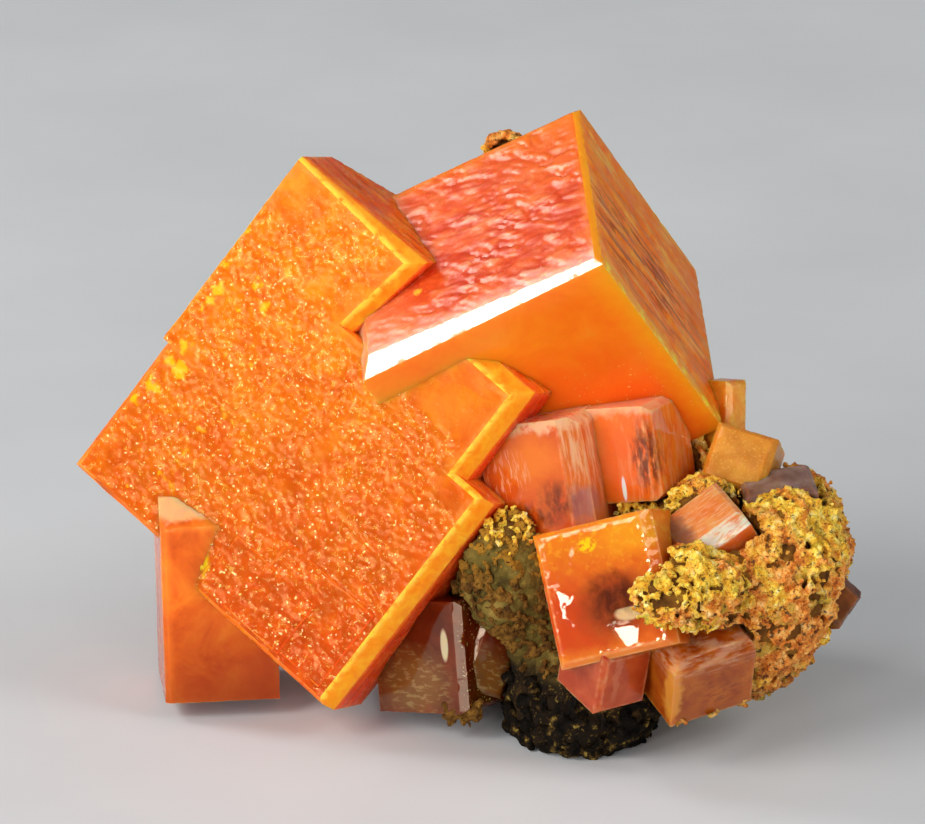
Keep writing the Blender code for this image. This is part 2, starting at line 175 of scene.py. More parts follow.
class Skin:
    """Fine triangles over the flat faces of a solid, with each point's normal, face and edge distance."""

    def __init__(self, solid, spacing, seed):
        self.points = [tuple(vert.co) for vert in solid.verts]
        solid.verts.index_update()
        solid.edges.index_update()
        rng = np.random.default_rng(seed)
        chains = []
        for edge in solid.edges:
            a, b = edge.verts
            count = max(1, math.ceil(edge.calc_length() / spacing))
            inner = range(len(self.points), len(self.points) + count - 1)
            self.points.extend(tuple(a.co.lerp(b.co, k / count)) for k in range(1, count))
            chains.append([a.index, *inner, b.index])
        self.triangles = []
        self.face_keys = []
        normals = {}
        for face in solid.faces:
            key = int(np.argmax(KEY_WAYS @ np.array(face.normal)))
            self.cover(face, chains, spacing, rng, key, normals)
        total = np.zeros((len(self.points), 3))
        self.keys = np.full(len(self.points), -1)
        for (index, key, way), area in normals.items():
            total[index] += way
            self.keys[index] = key
        self.points = np.array(self.points)
        self.normals = total / np.maximum(np.linalg.norm(total, axis=1, keepdims=True), 1e-9)
        self.distance = self.to_edges(solid)
        self.relief = np.zeros(len(self.points))
        self.marks = {}

    def cover(self, face, chains, spacing, rng, key, normals):
        """Triangles over one face: its rim's points, and a staggered grid within."""
        across = face.normal.orthogonal().normalized()
        along = face.normal.cross(across)
        rim = []
        for loop in face.loops:
            chain = chains[loop.edge.index]
            if chain[0] != loop.vert.index:
                chain = chain[::-1]
            rim.extend(chain[:-1])
        basis = np.array([across, along])
        flat_rim = np.array([self.points[i] for i in rim]) @ basis.T
        corners = np.array([loop.vert.co for loop in face.loops]) @ basis.T
        height = float(np.array(face.verts[0].co) @ np.array(face.normal))
        low, high = corners.min(axis=0), corners.max(axis=0)
        row = spacing * 0.87
        xs = np.arange(low[0], high[0], spacing)
        ys = np.arange(low[1], high[1], row)
        grid = np.array([(x + 0.5 * spacing * (j % 2), y) for j, y in enumerate(ys) for x in xs])
        if len(grid):
            grid = grid + rng.uniform(-0.22, 0.22, grid.shape) * spacing
            grid = grid[inside(grid, corners) & (segment_distance(grid, corners) > 0.5 * spacing)]
        indices = list(rim)
        for x, y in grid:
            indices.append(len(self.points))
            spot = across * x + along * y + face.normal * height
            self.points.append(tuple(spot))
        flat = [Vector(p) for p in flat_rim] + [Vector(p) for p in grid]
        made = delaunay_2d_cdt(flat, [], [list(range(len(rim)))], 1, 1e-7)
        source = [origin[0] for origin in made[3]]
        way = tuple(round(c, 3) for c in face.normal)
        for triangle in made[2]:
            corners_of = [indices[source[i]] for i in triangle]
            self.triangles.append(corners_of)
            self.face_keys.append(key)
            for index in corners_of:
                normals[(index, key, way)] = 1

    def to_edges(self, solid):
        """Distance from each point to the nearest sharp edge between faces that are not slivers."""
        ends = []
        for edge in solid.edges:
            if len(edge.link_faces) == 2 and edge.calc_face_angle() > math.radians(4):
                if all(face.calc_area() / max(face.calc_perimeter(), 1e-9) > 0.13 for face in edge.link_faces):
                    ends.append([tuple(edge.verts[0].co), tuple(edge.verts[1].co)])
        nearest = np.full(len(self.points), 99.0)
        for a, b in np.array(ends):
            step = b - a
            along = np.clip(((self.points - a) @ step) / max(step @ step, 1e-12), 0, 1)
            nearest = np.minimum(nearest, np.linalg.norm(self.points - a - along[:, None] * step, axis=1))
        return nearest

    def shape(self, height, chip=0.03, rim=0.35):
        """Raise each point by height(key, x, y, z, edge distance), and wear the sharp edges a little."""
        for i, (x, y, z) in enumerate(self.points):
            away = self.distance[i]
            fade = min(1.0, away / rim)
            self.relief[i] = height(KEY_NAMES[self.keys[i]], x, y, z, away) * fade * (2 - fade)
        for i in np.nonzero(self.distance < 0.25)[0]:
            x, y, z = self.points[i]
            rough = noise.noise(Vector((x * 1.7, y * 1.7, z * 1.7))) + 0.6 * noise.noise(Vector((x, y, z)) * 5.1)
            edge_wear_and_highlight = max(0.0, rough) * 2.2 + 0.3
            self.relief[i] -= chip * edge_wear_and_highlight * (1 - self.distance[i] / 0.25)
        self.points = self.points + self.normals * self.relief[:, None]

    def build(self, name, place, materials, sharp=32.0):
        """The piece: place is its millimetre frame, materials maps face names to materials."""
        mesh = bpy.data.meshes.new(name)
        turn = np.array(place.to_3x3())
        world = (self.points @ turn.T + np.array(place.translation)) * MM
        mesh.from_pydata(world.tolist(), [], self.triangles)
        looks = []
        for look in materials.values():
            if look not in looks:
                looks.append(look)
                mesh.materials.append(look)
        picked = [looks.index(materials.get(KEY_NAMES[key], materials["rest"])) for key in self.face_keys]
        mesh.polygons.foreach_set("material_index", np.array(picked, dtype=np.int32))
        mesh.polygons.foreach_set("use_smooth", np.ones(len(mesh.polygons), dtype=bool))
        store(mesh, "relief", self.relief)
        store(mesh, "edge", self.distance)
        for label, values in self.marks.items():
            store(mesh, label, values)
        store_places(mesh, self.points)
        mesh.update()
        mesh.set_sharp_from_angle(angle=math.radians(sharp))
        piece = bpy.data.objects.new(name, mesh)
        bpy.context.scene.collection.objects.link(piece)
        return piece


def inside(points, corners):
    """Which 2-D points lie inside the polygon."""
    result = np.zeros(len(points), dtype=bool)
    x, y = points[:, 0], points[:, 1]
    for (ax, ay), (bx, by) in zip(corners, np.roll(corners, -1, axis=0)):
        if ay != by:
            crosses = (ay > y) != (by > y)
            result ^= crosses & (x < (bx - ax) * (y - ay) / (by - ay) + ax)
    return result


def segment_distance(points, corners):
    nearest = np.full(len(points), 1e9)
    for a, b in zip(corners, np.roll(corners, -1, axis=0)):
        step = b - a
        along = np.clip(((points - a) @ step) / max(step @ step, 1e-12), 0, 1)
        nearest = np.minimum(nearest, np.linalg.norm(points - a - along[:, None] * step, axis=1))
    return nearest


# ---- materials

class Look:
    """Builds one node material."""

    def __init__(self, name, **sockets):
        self.material = bpy.data.materials.new(name)
        self.material.use_nodes = True
        self.tree = self.material.node_tree
        self.shader = self.tree.nodes["Principled BSDF"]
        self.output = self.tree.nodes["Material Output"]
        for label, value in sockets.items():
            self.feed(self.shader.inputs[label.replace("_", " ")], value)
        place = self.add("Attribute", attribute_name="place", attribute_type="GEOMETRY")
        self.position = place.outputs["Vector"]
        shake = self.add("TexNoise", {"Vector": self.position, "Scale": 1.2, "Detail": 4.0, "Roughness": 0.6})
        self.ragged = self.vector("ADD", self.position, self.vector("SCALE", self.vector(
            "SUBTRACT", shake.outputs["Color"], (0.5, 0.5, 0.5)), scale=1.3))

    def feed(self, socket, value):
        if isinstance(value, bpy.types.NodeSocket):
            self.tree.links.new(value, socket)
        elif isinstance(value, tuple) and len(value) == 3 and socket.type == "RGBA":
            socket.default_value = (*value, 1.0)
        else:
            socket.default_value = value

    def add(self, kind, values=None, **settings):
        node = self.tree.nodes.new("ShaderNode" + kind)
        for label, value in settings.items():
            setattr(node, label, value)
        for label, value in (values or {}).items():
            self.feed(node.inputs[label], value)
        return node

    def spot(self, stretch=(1, 1, 1), turn=(0, 0, 0)):
        """The piece's own coordinates in millimetres, stretched and turned."""
        scale = tuple(1.0 / s for s in stretch)
        return self.add("Mapping", {"Vector": self.position, "Scale": scale, "Rotation": turn}).outputs[0]

    def noise(self, where, size=1.0, detail=3.0, roughness=0.55, distortion=0.0):
        values = {"Vector": where, "Scale": 1.0 / size, "Detail": detail, "Roughness": roughness,
                  "Distortion": distortion}
        return self.add("TexNoise", values).outputs["Fac"]

    def cells(self, where, size=1.0, feature="F1", output="Distance"):
        return self.add("TexVoronoi", {"Vector": where, "Scale": 1.0 / size}, feature=feature).outputs[output]

    def ramp(self, value, stops):
        node = self.add("ValToRGB", {"Fac": value})
        steps = node.color_ramp.elements
        while len(steps) < len(stops):
            steps.new(0.5)
        for step, (place, colour) in zip(steps, stops):
            step.position = place
            step.color = (*colour, 1.0) if isinstance(colour, tuple) else (colour, colour, colour, 1.0)
        return node.outputs["Color"]

    def mix(self, amount, first, second, blend="MIX"):
        node = self.add("Mix", data_type="RGBA", blend_type=blend)
        self.feed(node.inputs[0], amount)
        self.feed(node.inputs[6], first)
        self.feed(node.inputs[7], second)
        return node.outputs[2]

    def math(self, operation, first, second=0.0, clamp=False):
        node = self.add("Math", operation=operation, use_clamp=clamp)
        self.feed(node.inputs[0], first)
        self.feed(node.inputs[1], second)
        return node.outputs[0]

    def vector(self, operation, first, second=(0.0, 0.0, 0.0), scale=1.0, output="Vector"):
        node = self.add("VectorMath", operation=operation)
        for index, value in ((0, first), (1, second), (3, scale)):
            self.feed(node.inputs[index], value)
        return node.outputs[output]

    def along(self, way, start, end):
        """0 to 1 as the coordinate along way runs from start to end, with a ragged border."""
        return self.band(self.vector("DOT_PRODUCT", self.ragged, way, output="Value"), start, end)

    def near(self, centre, radii, soft=0.6, ragged=True):
        """1 within an ellipsoid round centre, fading to 0 outside."""
        scale = tuple(1.0 / r for r in radii)
        back = tuple(-c / r for c, r in zip(centre, radii))
        start = self.ragged if ragged else self.position
        where = self.add("Mapping", {"Vector": start, "Scale": scale, "Location": back}).outputs[0]
        return self.band(self.vector("LENGTH", where, output="Value"), 1 + soft / 2, 1 - soft / 2)

    def both(self, first, *others):
        for other in others:
            first = self.math("MULTIPLY", first, other)
        return first

    def tint(self, base, mask, code, amount=1.0):
        """Another colour laid over the base where the mask is."""
        return self.mix(self.math("MULTIPLY", mask, amount), base, linear(code))

    def strokes(self, stretch, low, high, turn=(0, 0, 0)):
        """Broken strokes drawn out along the larger stretches."""
        return self.band(self.noise(self.spot(stretch, turn), 1.0, 3.0, 0.6, 0.3), low, high)

    def stored(self, name):
        return self.add("Attribute", attribute_name=name, attribute_type="GEOMETRY").outputs["Fac"]

    def band(self, value, start, end):
        """0 at start to 1 at end."""
        node = self.add("MapRange", {"Value": value, "From Min": start, "From Max": end})
        return node.outputs[0]

    def part(self, axis):
        """One object coordinate in millimetres."""
        split = self.add("SeparateXYZ", {"Vector": self.spot()})
        return split.outputs[axis]

    def bump(self, height, distance, strength=1.0, under=None):
        values = {"Height": height, "Distance": distance * MM, "Strength": strength}
        if under is not None:
            values["Normal"] = under
        return self.add("Bump", values).outputs[0]

    def set(self, **sockets):
        for label, value in sockets.items():
            self.feed(self.shader.inputs[label.replace("_", " ")], value)
        return self

    def absorb(self, colour, density):
        node = self.add("VolumeAbsorption", {"Color": colour, "Density": density})
        self.tree.links.new(node.outputs[0], self.output.inputs["Volume"])
        return self


GLOW = (1.0, 0.28, 0.04)


def orange_look(name, stops, patch=3.0, roughness=(0.18, 0.34), fine=0.25, depth=0.03, glow=1.6,
                ior=1.6, paint=None, tint=(1.0, 0.62, 0.25)):
    """Glowing orange crystal: colour patches, painted highlight along the edges, fine surface grain."""
    look = Look(name, Subsurface_Weight=1.0, Subsurface_Radius=GLOW, Subsurface_Scale=glow * MM, IOR=ior,
                Specular_Tint=tint)
    where = look.spot()
    cloud = look.noise(where, patch, 4.0, 0.6, 0.6)
    colour = look.ramp(cloud, stops)
    # Painted highlight: the colour is lightened towards pale orange near the edges.
    pale = look.band(look.stored("edge"), 0.5, 0.0)
    colour = look.mix(look.math("MULTIPLY", pale, 0.3), colour, linear("ffa63c"))
    if paint:
        colour = paint(look, colour)
    grain = look.noise(where, fine, 3.0, 0.6)
    rough = look.band(look.noise(where, patch * 0.6), 0.3, 0.7)
    low, high = roughness
    rough = look.math("ADD", look.math("MULTIPLY", rough, high - low), low)
    look.set(Base_Color=colour, Roughness=rough, Normal=look.bump(grain, depth, 0.7))
    return look


def grainy_paint(look, colour):
    """Redder towards the lower corner, painted glints as pale broken rims on the little hills and as pale flecks,
    yellow spots.
    """
    low = look.along((0.543, -0.84, 0.0), 10.0, 35.0)
    red = look.ramp(look.noise(look.spot(), 1.8, 3.0), [(0.35, linear("b03206")), (0.6, linear("d44c0c")),
                                                        (0.8, linear("e6781c"))])
    colour = look.mix(look.math("MULTIPLY", low, 0.95), colour, red)
    # Painted glints: pale broken rims on the hills of a noise, fewer towards the lower corner.
    high = look.math("SUBTRACT", 1.0, look.math("MULTIPLY", low, 0.45))
    grain = look.stored("grain")
    hills = look.noise(look.spot(), 0.42, 2.5, 0.55, 0.4)
    rim = look.band(look.math("FRACT", look.math("MULTIPLY", hills, 5.0)), 0.24, 0.06)
    crowd = look.band(look.noise(look.spot(), 2.6, 2.0), 0.36, 0.6)
    broken = look.band(look.math("ADD", look.noise(look.spot(), 0.42, 1.0), look.math("MULTIPLY", crowd, 0.05)),
                       0.585, 0.63)
    colour = look.tint(colour, look.both(look.band(hills, 0.62, 0.42), grain), "d2500c", 0.3)
    colour = look.tint(colour, look.both(rim, broken, grain, high), "ffdc70", 0.85)
    # Painted glints: small pale flecks over the grain.
    fleck = look.both(look.band(look.noise(look.spot(), 0.26, 0.0), 0.735, 0.775), grain)
    colour = look.tint(colour, fleck, "ffeca0", 0.8)
    return look.tint(colour, look.stored("yellow"), "ffc814", 0.8)


def smooth_paint(look, colour):
    colour = look.tint(colour, look.along((0.1, -1.0, 0.0), -5.0, 4.0), "f45814", 0.75)
    # Painted highlight: a lighter strip along the right edge.
    colour = look.tint(colour, look.along((1.0, 0.0, 0.0), 7.6, 9.4), "ffa41c", 0.8)
    fleck = look.both(look.band(look.noise(look.spot(), 0.3, 1.0), 0.7, 0.74), look.along((0, -1, 0), -2.0, 2.0))
    return look.tint(colour, fleck, "ffd070", 0.7)


def scaly_paint(look, colour):
    """Painted sheen on the scales' crests and painted shade in their grooves, red in the middle, orange at the far
    corner, painted sheen at the left and along the front edge.
    """
    relief = look.stored("relief")
    patch = look.band(look.noise(look.spot((2.2, 1.0, 1.0), (0, 0.51, 0)), 1.5, 2.0), 0.46, 0.58)
    colour = look.tint(colour, look.both(look.near((1.5, 9.3, -7.0), (8.0, 9.0, 6.0), 0.9), patch), "cc3010", 0.7)
    colour = look.tint(colour, look.near((9.0, 9.3, -15.0), (4.5, 9.0, 4.5), 0.9), "ef7016", 0.85)
    colour = look.tint(colour, look.along((0.0, 0.0, -1.0), 14.6, 16.2), "f2861c", 0.8)
    # Painted shade: the grooves between the scales are darkened.
    colour = look.tint(colour, look.band(relief, 0.0, -0.05), "d04018", 0.4)
    # Painted sheen on the crests of the scales.
    sheen = look.both(look.band(relief, 0.0, 0.06), look.strokes((2.2, 1.0, 0.35), 0.47, 0.6, (0, 0.51, 0)))
    colour = look.tint(colour, sheen, "ffc49c", 0.6)
    # Painted sheen: a pale pink wash over the left part.
    left = look.along((-1.0, 0.0, 0.25), 2.0, 8.0)
    colour = look.tint(colour, left, "f49468", 0.5)
    colour = look.tint(colour, look.near((-4.2, 9.3, -5.2), (0.35, 3.0, 0.3), 0.5), "ffd040", 0.8)
    # Painted sheen: a pale wash along the front edge.
    return look.tint(colour, look.along((0.0, 0.0, 1.0), -2.2, -0.3), "ffd8c4", 0.7)


def streaked_paint(look, colour):
    """Dark streaks along the crystal's right side, a painted highlight along its front edge."""
    streak = look.noise(look.spot((1.0, 6.0, 0.8)), 1.0, 4.0, 0.65, 0.3)
    zone = look.near((9.6, 1.0, -7.0), (9.0, 8.0, 4.5), 0.9)
    colour = look.tint(colour, look.band(streak, 0.44, 0.36), "ffbe5c", 0.7)
    colour = look.tint(colour, look.both(look.band(streak, 0.5, 0.58), zone), "7a260a", 0.75)
    colour = look.tint(colour, look.along((0.0, -1.0, -0.3), 5.0, 12.0), "c8601c", 0.35)
    # Painted highlight: the strip along the front edge is lightened, with broken brighter yellow in it.
    front = look.along((0.0, 0.0, 1.0), -1.5, -0.4)
    colour = look.tint(colour, front, "ffae24", 0.8)
    return look.tint(colour, look.both(front, look.band(look.noise(look.spot(), 0.9, 3.0), 0.5, 0.58)), "ffe850", 0.8)


def foot_paint(look, colour):
    colour = look.tint(colour, look.along((0.35, -1.0, 0.0), -1.0, 8.0), "8e240c", 0.9)
    # Painted highlight: a pale patch on the top bevel.
    return look.tint(colour, look.near((-2.6, 7.1, -0.7), (3.0, 1.3, 1.6), 0.4), "ffc890", 0.75)


def bevel_paint(look, colour):
    """A broken painted highlight line where the bevel meets the front face."""
    line = look.both(look.band(look.part("Z"), -0.4, -0.12), look.band(look.noise(look.spot(), 0.8, 3.0), 0.38, 0.5))
    return look.tint(colour, line, "ffe65a", 0.75)


def crest_paint(look, colour):
    """Dark ridges over a red-brown side."""
    streak = look.noise(look.spot((4.0, 4.0, 0.6), (0.2, 0.0, 0.0)), 1.0, 3.0, 0.6, 0.3)
    colour = look.tint(colour, look.band(streak, 0.54, 0.64), "a03410", 0.55)
    return look.tint(colour, look.band(streak, 0.46, 0.38), "ff9c4c", 0.6)


def clear_look(name, low, high, absorb, density, clear=0.3, roughness=0.05, ior=1.6, paint=None, rim="ffc890",
               ripple=0.03):
    """See-through crystal, milky where it glows, with a painted highlight of colour rim along its edges; paint returns
    its colour and how clear it is.
    """
    look = Look(name, IOR=ior, Subsurface_Weight=1.0, Subsurface_Radius=GLOW, Subsurface_Scale=1.1 * MM,
                Specular_Tint=(1.0, 0.8, 0.6))
    cloud = look.noise(look.spot(), 1.8, 4.0, 0.55, 0.4)
    colour = look.ramp(cloud, [(0.35, linear(low)), (0.65, linear(high))])
    amount = clear
    if paint:
        colour, amount = paint(look, colour, amount)
    # Painted highlight: the edges are tinted towards the rim colour, in broken stretches.
    edge_wear_and_highlight = look.both(look.band(look.stored("edge"), 0.2, 0.02), look.band(look.noise(look.spot(), 1.1), 0.35, 0.65))
    colour = look.tint(colour, edge_wear_and_highlight, rim, 0.45)
    rough = look.math("ADD", look.math("MULTIPLY", look.noise(look.spot(), 0.8), roughness * 1.5), roughness * 0.3)
    wave = look.noise(look.spot((2.5, 0.7, 2.5)), 0.8, 2.0)
    look.set(Base_Color=colour, Transmission_Weight=amount, Roughness=rough, Normal=look.bump(wave, ripple, 0.5))
    look.absorb(absorb, density)
    return look


def front_paint(look, colour, clear):
    """Front crystal: yellow top, clearer heart darkened with painted shade, red lower left, cream and yellow spots."""
    dark = look.near((0.5, -1.2, 0.0), (2.4, 2.0, 3.0), 0.8)
    core = look.both(look.near((0.6, -0.9, 0.0), (1.8, 1.6, 3.0), 0.9), look.strokes((1.0, 1.3, 1.0), 0.3, 0.6))
    specked = look.band(look.noise(look.spot(), 0.4, 3.0), 0.38, 0.5)
    bright = look.both(look.along((0.1, 1.0, 0.0), 0.4, 3.6), look.strokes((0.5, 0.5, 1.0), 0.52, 0.64))
    colour = look.tint(colour, look.along((0.1, 1.0, 0.0), 0.4, 3.6), "f28c18", 0.9)
    colour = look.tint(colour, look.near((2.7, 3.4, -0.5), (2.2, 1.4, 3.0), 0.8), "ffa41c", 0.9)
    colour = look.tint(colour, look.near((-3.0, -2.2, 0.0), (2.0, 3.6, 3.0), 0.8), "da4c1a", 0.8)
    colour = look.tint(colour, look.along((-0.1, -1.0, 0.0), 3.7, 4.6), "f59430", 0.8)
    colour = look.tint(colour, bright, "ffbe30", 0.6)
    # Painted shade over the clearer heart, which also lets more light through.
    colour = look.tint(colour, dark, "a2441c", 0.85)
    colour = look.tint(colour, core, "6a2810", 0.8)
    spot = look.both(look.near((-0.52, 3.24, 0.0), (0.62, 0.5, 2.0), 0.4, False), specked)
    colour = look.tint(colour, spot, "ffdc14")
    cream = look.both(look.near((1.4, -1.9, 0.0), (1.0, 0.55, 2.0), 0.3, False), look.band(look.part("Y"), -1.5, -1.6))
    colour = look.tint(colour, cream, "ffd8a0", 0.9)
    return colour, look.math("ADD", look.math("MULTIPLY", core, 0.35), clear)


def upper_left_paint(look, colour, clear):
    """Upper left crystal: painted highlight along the top edge, short veils at the left, clearer middle darkened with
    painted shade, veiled corner band.
    """
    # Painted shade over the clearer middle, which also lets more light through.
    clear_shaded_patch = look.math("MAXIMUM", look.near((1.7, -1.6, 0.0), (1.3, 1.2, 2.5), 1.0),
                      look.near((-0.4, -2.3, 0.0), (2.4, 0.8, 2.0), 1.0))
    colour = look.tint(colour, look.near((0.2, 1.6, 0.0), (2.2, 1.6, 2.0), 0.9), "f88a20", 0.8)
    colour = look.tint(colour, look.along((-1.0, 0.0, 0.0), 2.4, 3.7), "b03c1a", 0.8)
    colour = look.tint(colour, look.along((0.0, -1.0, 0.0), 2.6, 4.0), "ee6a24", 0.8)
    clear_shaded_patch = look.both(clear_shaded_patch, look.strokes((0.6, 1.2, 1.0), 0.36, 0.6))
    colour = look.tint(colour, clear_shaded_patch, "8c3c1a", 0.7)
    veils = look.both(look.near((-1.9, 0.8, 0.0), (1.5, 1.6, 2.0)), look.strokes((0.25, 1.6, 1.0), 0.52, 0.6))
    colour = look.tint(colour, veils, "ffb684", 0.85)
    corner = look.band(look.part("X"), 2.5, 2.62)
    streaks = look.strokes((0.3, 2.4, 0.3), 0.42, 0.62)
    colour = look.tint(colour, corner, "ee8c40", 0.6)
    colour = look.tint(colour, look.both(corner, streaks, look.along((0, 1, 0), -4.5, 1.0)), "ffd4a4", 0.7)
    grey = look.both(corner, look.near((3.2, -2.0, 0.0), (1.6, 1.2, 2.5)))
    colour = look.tint(colour, grey, "a88088", 0.6)
    # Painted highlight: the top edge is lightened.
    top = look.both(look.along((0.05, 1.0, 0.0), 3.2, 3.7), look.band(look.noise(look.spot(), 0.9), 0.35, 0.5))
    colour = look.tint(colour, top, "ffcda0", 0.8)
    return colour, look.math("ADD", look.math("MULTIPLY", clear_shaded_patch, 0.3), clear)


def upper_right_paint(look, colour, clear):
    """Upper right crystal: painted highlight on the top, a thin painted glint, clearer upright patch darkened with
    painted shade, brown streaked side.
    """
    # Painted shade over the clearer upright patch, which also lets more light through.
    clear_shaded_patch = look.both(look.near((2.0, -0.2, -0.3), (0.8, 2.2, 1.5), 0.8), look.strokes((0.3, 1.2, 0.5), 0.38, 0.56))
    colour = look.tint(colour, look.near((0.4, -0.6, 0.0), (2.2, 3.2, 2.0), 0.8), "fc7020", 0.8)
    haze = look.both(look.strokes((0.5, 2.6, 0.5), 0.5, 0.62), look.along((1.0, 0.0, 0.0), -0.5, 1.5))
    colour = look.tint(colour, haze, "ffb07c", 0.5)
    colour = look.tint(colour, clear_shaded_patch, "6a2c20", 0.75)
    side = look.band(look.part("X"), 2.5, 2.7)
    streaks = look.strokes((0.4, 2.4, 0.5), 0.45, 0.6)
    colour = look.tint(colour, look.both(side, streaks), "f0a05c", 0.6)
    # Painted glint: a thin near-white strip.
    colour = look.tint(colour, look.near((0.05, -2.4, 0.0), (0.16, 0.85, 0.5), 0.3, False), "fff2e4")
    # Painted highlight: the top is lightened.
    colour = look.tint(colour, look.along((0.0, 1.0, 0.0), 2.7, 3.2), "ffc49c", 0.75)
    return colour, look.math("ADD", look.math("MULTIPLY", clear_shaded_patch, 0.3), clear)


def lower_paint(look, colour, clear):
    colour = look.tint(colour, look.along((1.0, 0.0, 0.0), 0.6, 2.0), "9c3414", 0.8)
    return look.tint(colour, look.near((-0.9, 1.2, 0.0), (0.3, 2.4, 1.0)), "e88a5c", 0.5), clear


def amber_paint(look, colour, clear):
    """Amber crystal: pale veils at the top, yellow left corner, dark ripples at the lower right."""
    colour = look.tint(colour, look.near((-3.2, 0.2, -0.2), (0.7, 2.6, 1.0), 0.5), "f0a840", 0.9)
    veil = look.both(look.along((0.0, 1.0, 0.0), 1.0, 2.2), look.strokes((1.6, 0.3, 1.0), 0.42, 0.6))
    colour = look.tint(colour, veil, "f2c8a0", 0.55)
    ripples = look.both(look.near((0.6, -0.6, 0.0), (2.2, 1.8, 2.0)), look.strokes((0.9, 0.3, 1.0), 0.52, 0.6,
                                                                                  (0, 0, 0.7)))
    colour = look.tint(colour, ripples, "8e3a14", 0.55)
    return look.tint(colour, look.along((0.0, -1.0, 0.0), 2.0, 2.8), "b8601c", 0.6), clear


def pink_paint(look, colour, clear):
    """Leaning crystal: blue-grey lower left, oblique ripples, a painted highlight on the lower bevel."""
    grey = look.near((-1.9, 0.0, 0.0), (0.9, 1.8, 1.0), 0.8)
    colour = look.tint(colour, look.strokes((1.2, 0.16, 1.0), 0.5, 0.62, (0, 0, 0.3)), "ffdcb4", 0.5)
    colour = look.tint(colour, grey, "88747c", 0.55)
    # Painted highlight: a near-white strip on the lower bevel.
    bevel = look.band(look.vector("DOT_PRODUCT", look.position, (0.0, -1.0, 1.0), output="Value"), 1.3, 1.42)
    colour = look.tint(colour, look.both(bevel, look.strokes((1.2, 0.25, 0.25), 0.36, 0.52)), "fff0dc", 0.95)
    colour = look.tint(colour, look.band(look.part("Z"), -0.85, -1.0), "ea6a22", 0.8)
    return colour, look.math("ADD", look.math("MULTIPLY", grey, 0.3), clear)


def frosted_paint(look, colour, clear):
    speck = look.band(look.noise(look.spot(), 0.16, 1.0), 0.6, 0.68)
    colour = look.tint(colour, speck, "f0c060", 0.6)
    return look.tint(colour, look.along((0.0, -1.0, 0.3), 0.5, 2.4), "b4741c", 0.5), clear


def low_paint(look, colour, clear):
    """Low crystal: pale green cloud inside its left face, olive right side with painted glints as specks, a painted
    glint on the front.
    """
    cloud = look.near((-0.6, -1.9, 0.0), (2.8, 2.2, 2.0), 0.8)
    colour = look.tint(colour, cloud, "a87c3c", 0.55)
    colour = look.tint(colour, look.both(cloud, look.strokes((0.8, 0.3, 1.0), 0.52, 0.62, (0, 0, 0.5))),
                       "c8a868", 0.6)
    side = look.band(look.part("X"), 3.3, 3.6)
    colour = look.tint(colour, look.both(side, look.near((3.7, -2.6, -3.2), (1.0, 1.8, 2.6), 0.8)), "6a4414", 0.7)
    # Painted glints: pale specks on the right side.
    speck = look.both(side, look.band(look.noise(look.spot(), 0.22, 1.0), 0.66, 0.7))
    colour = look.tint(colour, speck, "f4d890", 0.9)
    # Painted glint: a bright strip on the front.
    mark = look.near((2.3, 0.9, 0.0), (0.3, 1.1, 0.6), 0.3, False)
    return look.tint(colour, mark, "ffeec0", 0.9), clear


# ---- relief of the faces

def voronoi_facets(x, y, cell, seed, tilt, drop):
    """Flat facets of one size, each with its own lean and level."""
    where = Vector((x / cell, y / cell, seed))
    near, centres = noise.voronoi(where)
    lean = noise.cell_vector(centres[0] * 37.0)
    level = (lean.x - 0.5) * (where.x - centres[0].x) + (lean.y - 0.5) * (where.y - centres[0].y)
    return level * cell * tilt + (lean.z - 0.5) * drop, near[1] - near[0]


def smooth(value, low, high):
    t = min(1.0, max(0.0, (value - low) / (high - low)))
    return t * t * (3 - 2 * t)


def ridge_lines(x, y, lines, width):
    """1 on the nearest line, falling to 0 at its width."""
    best = 0.0
    for ax, ay, bx, by in lines:
        sx, sy = bx - ax, by - ay
        t = min(1.0, max(0.0, ((x - ax) * sx + (y - ay) * sy) / (sx * sx + sy * sy)))
        gap = math.hypot(x - ax - t * sx, y - ay - t * sy)
        best = max(best, math.exp(-(gap / width) ** 2))
    return best


GROWTH_LINES = (
    (17.8, -17.7, 20.5, -17.9), (20.5, -17.9, 23.1, -17.5), (20.8, -20.0, 23.4, -20.4), (23.4, -20.4, 25.8, -21.2),
    (22.7, -16.4, 25.8, -15.0), (15.8, -25.7, 19.6, -25.4), (19.6, -25.4, 19.9, -28.3), (14.0, -22.0, 17.5, -21.6),
    (24.0, -12.6, 26.2, -13.2), (21.2, -22.6, 24.6, -23.4),
)


def grain_mask(x, y):
    """How strong the grain is: calm at the top corner and along the right edges."""
    wander = noise.noise(Vector((x * 0.3, y * 0.3, 3.0))) * 2.0
    calm_top = smooth(math.hypot(x, y) + wander, 2.0, 6.5)
    right = 11.0 + 0.165 * y if y > -8.0 else 23.1
    if y < -12.0:
        right = 29.5
    calm_right = smooth(right - x + wander, 0.8, 2.8)
    patches = smooth(noise.noise(Vector((x * 0.4, y * 0.4, 9.0))), -0.62, -0.3)
    return (0.1 + 0.9 * calm_top * calm_right) * (0.3 + 0.7 * patches)


YELLOW_SPOTS = (
    (2.0, -17.4, 0.7), (1.2, -15.8, 0.5), (0.7, -12.1, 0.4), (0.7, -11.2, 0.5), (4.1, -9.8, 0.4), (2.7, -9.1, 0.4),
    (-0.3, -6.6, 0.3), (1.0, -17.4, 0.5), (9.0, 1.2, 0.5), (11.9, -27.0, 0.8), (1.0, -19.6, 0.5),
)


